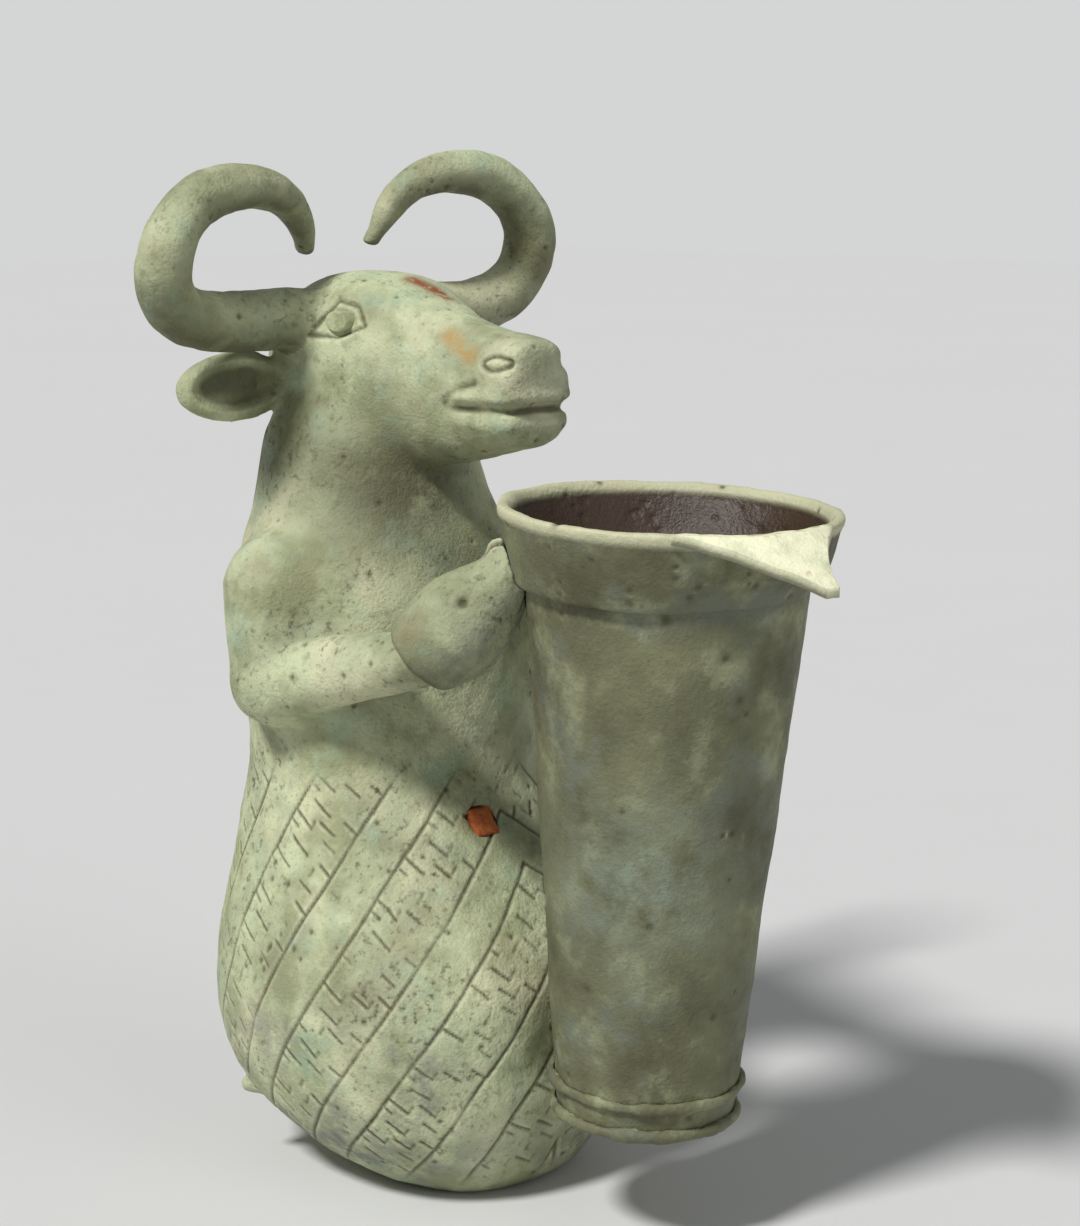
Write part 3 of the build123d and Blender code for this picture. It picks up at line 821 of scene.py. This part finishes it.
def build_body():
    """The cast body: one skin, split into a piece for each of its CAD nodes."""
    points, quads, edges, owner = cast_body()
    normals = normals_of(points, quads)
    height, hollow = body_relief(points, normals, edges, owner)
    points = points + normals * height[:, None]
    points[:, 2] = np.maximum(points[:, 2], 0.0)
    normals = normals_of(points, quads)
    wear_and_highlight, grooves = edge_wear_and_highlight(points, quads)
    values = {
        # Patina in carved lines and pits, darker grooves, and painted shade in face grooves, ear dishes and
        # the creases of the body
        "hollow": np.clip(hollow + grooves + 0.8 * crevice_shade(points, quads, normals), 0, 1),
        "wear_and_highlight": wear_and_highlight,
        "stain": stain_marks(points),
        "rust": rust_marks(points),
        "ochre": ochre_marks(points),
        "shade": shade_marks(points, normals, owner),
    }
    for number, node in enumerate(body_nodes):
        chosen = owner[quads].max(axis=1) == number
        if not chosen.any():
            continue
        used = np.unique(quads[chosen])
        patch, corners = part_of(points, quads, chosen)
        own = {label: value[used] for label, value in values.items()}
        add_piece(node + "_skin", node, patch, corners, own, patina, normals[used])


def cast_skin(node, grain, rounds=6):
    """Smoothed skin of one CAD node, with its normals."""
    soup, triangles, _ = cad_triangles([node])
    points, quads = voxel_skin(soup, triangles, grain)
    edges = edges_of(quads, len(points))
    points = smoothed(points, edges, np.full(len(points), 0.5), rounds)
    return points, quads, normals_of(points, quads)


def build_small(node, material, grain, unevenness, seed):
    """A piece made from its own CAD node, with an uneven cast skin."""
    points, quads, normals = cast_skin(node, grain)
    height = unevenness * lumps(points, 5.0, seed)
    points = points + normals * height[:, None]
    wear_and_highlight, grooves = edge_wear_and_highlight(points, quads)
    add_piece(node + "_skin", node, points, quads, {"hollow": grooves, "wear_and_highlight": wear_and_highlight}, material)


def build_hoof(node):
    """Hoof cap: a raised mouth round the wrist, a cleft and a spur towards the tip, and a casting hole."""
    points, quads, normals = cast_skin(node, skin_grain, 8)
    middle = points.mean(axis=0)
    axis = np.linalg.svd(points - middle, full_matrices=False)[2][0]
    axis = axis * -np.sign(axis[1])
    upward = np.array([0, 0, 1.0]) - axis[2] * axis
    upward = upward / np.linalg.norm(upward)
    along = (points - middle) @ axis
    apart = (points - middle) @ np.cross(axis, upward)
    over = (points - middle) @ upward
    share = (along - along.min()) / (along.max() - along.min())
    share = share + 0.03 * noise(points, 4.0, 71)
    cleft = bell(apart - 0.8, 0.6) * np.clip((share - cleft_share) / 0.12, 0, 1)
    hole_place = np.mean(mm_box(node), axis=0) + np.array(hoof_hole) * (side_of(node), 1.0, 1.0)
    hole = ball(points, hole_place, hoof_hole_radius)
    spur = bell(share - spur_share, 0.08) * bell(apart, 2.2) * np.clip(over / 3.0, 0, 1)
    height = ridge(share - cuff_share, 0.5, 0.1) - 1.0 * cleft - 1.3 * hole + 0.22 * lumps(points, 6.0, 51)
    points = points + (spur_reach * spur)[:, None] * (0.8 * upward + 0.3 * axis)
    points = points + normals * height[:, None]
    wear_and_highlight, grooves = edge_wear_and_highlight(points, quads)
    values = {
        "hollow": np.clip(0.6 * cleft + hole + bell(share, 0.05) + grooves, 0, 1),
        "wear_and_highlight": wear_and_highlight,
        # Grey patches, more of them towards the underside of the cap
        "stain": 0.6 * np.clip(-over / 6.0, 0, 1),
        "shade": np.full(len(points), 0.25),
    }
    add_piece(node + "_skin", node, points, quads, values, patina)


def cup_frame():
    """Foot centre and axis of the cup, from the middles of its foot and its rim."""
    foot = np.mean(mm_box("cup_base"), axis=0)
    top = np.mean(mm_box("cup_rim_collar"), axis=0)
    return foot, (top - foot) / np.linalg.norm(top - foot)


def build_cup(node, grain, rounds):
    """Cup wall or collar: uneven hammered skin, dark inside."""
    points, quads, normals = cast_skin(node, grain, rounds)
    foot, axis = cup_frame()
    along = (points - foot) @ axis
    radial = points - foot - along[:, None] * axis
    radial = radial / np.linalg.norm(radial, axis=1)[:, None]
    facing = np.einsum("ij,ij->i", radial, normals)
    rough = pits(points, cup_seed, 160, 0.4, 1.0)
    height = 0.16 * lumps(points, 16.0, cup_seed) + 0.08 * lumps(points, 3.5, cup_seed + 5, 2) - 0.3 * rough
    lip = np.zeros(len(points))
    if node == "cup_rim_collar":
        lip = np.clip((along - along.max() + lip_height) / 1.2, 0, 1)
        seam = np.clip((along.min() + collar_seam_height - along) / collar_seam_height, 0, 1)
        flush = np.clip(radial @ np.array(flush_side) * 2 + 0.5, 0, 1)
        height += lip * (0.25 + 0.25 * noise(points, 7.0, cup_seed + 9))
        points = points - radial * (collar_flush * seam * flush)[:, None]
    points = points + normals * height[:, None]
    wear_and_highlight, grooves = edge_wear_and_highlight(points, quads)
    inside = np.clip(-facing * 3 - 0.6, 0, 1) * (1 - lip)
    values = {
        "hollow": np.clip(0.8 * rough + grooves, 0, 1),
        # The top band of the rim is painted cream as a highlight
        "wear_and_highlight": np.clip(wear_and_highlight * (1 - inside) + 0.8 * lip, 0, 1),
        "inside": inside,
        "bloom": 0.8 * ball(points, bloom_place, bloom_radius) * (1 - inside),
    }
    add_piece(node + "_skin", node, points, quads, values, cup_bronze)


def rim_size(foot, axis):
    """Height of the rim above the foot and its radius."""
    collar = cad_triangles(["cup_rim_collar"])[0] - foot
    top = (collar @ axis).max()
    return top, np.linalg.norm(collar - (collar @ axis)[:, None] * axis, axis=1).max()


def tongue_reach(foot, axis):
    """Level direction of the tongue's tip from the cup's axis and its distance."""
    tongue = cad_triangles(["cup_spout"])[0] - foot
    tongue = tongue - (tongue @ axis)[:, None] * axis
    far = np.linalg.norm(tongue, axis=1)
    ahead = tongue[far > far.max() - 0.5].mean(axis=0)
    return ahead / np.linalg.norm(ahead), far.max()


def build_spout():
    """Pouring tongue that flows over the rim of the cup, with an uneven hollow edge."""
    foot, axis = cup_frame()
    top, rim = rim_size(foot, axis)
    ahead, reach = tongue_reach(foot, axis)
    aside = np.cross(axis, ahead)
    across, down = np.meshgrid(np.linspace(-1, 1, spout_columns), np.linspace(0, 1, spout_rows))
    out = np.clip((down - spout_root_share) / (1 - spout_root_share), 0, 1)
    turn = np.radians(across * spout_half_angle + spout_root_turn)
    root = rim - spout_lap * (1 - np.clip(down / spout_root_share, 0, 1))
    forward = root * np.cos(turn) * (1 - out) + reach * out
    sideways = root * np.sin(turn) * (1 - out) ** (1.2 + 0.3 * across) + spout_tip_half_width * across * out
    grid = np.stack([forward, sideways, down * spout_length], -1).reshape(-1, 3)
    sideways = sideways * (1 + 0.05 * noise(grid, 5.0, 81).reshape(across.shape) * out)
    drop = spout_fall * np.clip(np.hypot(forward, sideways) - rim, 0, None)
    lift = spout_lift - drop + 0.22 * lumps(grid, 5.0, 82).reshape(across.shape)
    spots = foot + forward[..., None] * ahead + sideways[..., None] * aside + (top + lift)[..., None] * axis
    over = spots.reshape(-1, 3)
    points = np.vstack([over, over - axis * spout_thickness])
    # Painted shade along the side edges of the tongue, and more of it over its underside
    edge_shade = np.clip((np.abs(across) - 0.9) * 6, 0, 0.4).ravel()
    values = {"hollow": np.concatenate([edge_shade, edge_shade + 0.4])}
    quads = sheet_quads(*across.shape)
    add_piece("cup_spout_skin", "cup_spout", points, quads, values, worn_and_lit_lip)


def sheet_quads(rows, columns):
    """Closed skin of a sheet: its upper grid, its lower grid and the rim between them."""
    number = np.arange(rows * columns).reshape(rows, columns)
    face = np.stack([number[:-1, :-1], number[:-1, 1:], number[1:, 1:], number[1:, :-1]], -1).reshape(-1, 4)
    loop = np.concatenate([number[0, :-1], number[:-1, -1], number[-1, :0:-1], number[:0:-1, 0]])
    ahead = np.roll(loop, -1)
    count = rows * columns
    rim = np.stack([loop, loop + count, ahead + count, ahead], 1)
    return np.vstack([face, face[:, ::-1] + count, rim])


def build_floor():
    """Plain pale floor."""
    mesh = bpy.data.meshes.new("floor")
    corners = [(x * floor_reach, y * floor_reach, 0) for x, y in ((-1, -1), (1, -1), (1, 1), (-1, 1))]
    mesh.from_pydata(corners, [], [(0, 1, 2, 3)])
    floor = bpy.data.objects.new("floor", mesh)
    shader = Shader("floor_paper")
    tone = shader.mix(shader.noise(300, 2, 0.3, 0.7), floor_grey, floor_pale)
    mesh.materials.append(shader.finish(tone, shader.noise(40, 2, 0.3, 0.7, 0.85, 0.95), 4, 0.02))
    bpy.context.scene.collection.objects.link(floor)


def build_world():
    """Even sky light; the camera sees a pale backdrop in its place."""
    world = bpy.data.worlds.new("studio")
    bpy.context.scene.world = world
    world.use_nodes = True
    nodes = world.node_tree.nodes
    links = world.node_tree.links
    sky = nodes["Background"]
    sky.inputs["Color"].default_value = sky_grey
    backdrop = nodes.new("ShaderNodeBackground")
    backdrop.inputs["Color"].default_value = backdrop_grey
    ray = nodes.new("ShaderNodeLightPath")
    both = nodes.new("ShaderNodeMixShader")
    links.new(ray.outputs["Is Camera Ray"], both.inputs["Fac"])
    links.new(sky.outputs["Background"], both.inputs[1])
    links.new(backdrop.outputs["Background"], both.inputs[2])
    links.new(both.outputs["Shader"], nodes["World Output"].inputs["Surface"])


def add_sun(name, place, strength, softness):
    """Studio light from a far place, with soft shadows."""
    lamp = bpy.data.lights.new(name, "SUN")
    lamp.energy = strength
    lamp.angle = math.radians(softness)
    light = bpy.data.objects.new(name, lamp)
    light.location = place
    light.rotation_euler = (-Vector(place)).to_track_quat("-Z", "Y").to_euler()
    bpy.context.scene.collection.objects.link(light)


def build_camera():
    """Camera in front of the figure, on its right, that looks down a little."""
    lens = bpy.data.cameras.new("camera")
    lens.sensor_width = camera_sensor
    lens.lens = camera_lens
    lens.clip_start = camera_nearest
    camera = bpy.data.objects.new("camera", lens)
    bpy.context.scene.collection.objects.link(camera)
    camera.location = camera_place
    level = math.cos(camera_pitch) * math.sqrt(0.5)
    look = Vector((level, level, -math.sin(camera_pitch)))
    camera.rotation_euler = look.to_track_quat("-Z", "Y").to_euler()
    bpy.context.scene.camera = camera


build_body()
for hoof in ("right_hoof", "left_hoof"):
    build_hoof(hoof)
for inlay in ("right_eye_inlay", "left_eye_inlay"):
    build_small(inlay, patina, fine_grain, 0.1, 52)
build_small("chest_core_plug", iron, fine_grain, 0.3, 53)
build_cup("cup_wall", cup_grain, 5)
build_cup("cup_rim_collar", collar_grain, 14)
for ring in ("foot_ring_upper", "foot_ring_lower"):
    build_small(ring, cup_bronze, fine_grain, 0.35, 54)
build_small("cup_base", cup_bronze, cup_grain, 0.2, 55)
build_spout()

build_floor()
build_world()
add_sun("key", place=(-0.62, -0.02, 0.79), strength=3.3, softness=10)
add_sun("fill", place=(0.10, -0.85, 0.50), strength=0.45, softness=40)
build_camera()
bpy.context.scene.view_settings.view_transform = "Standard"
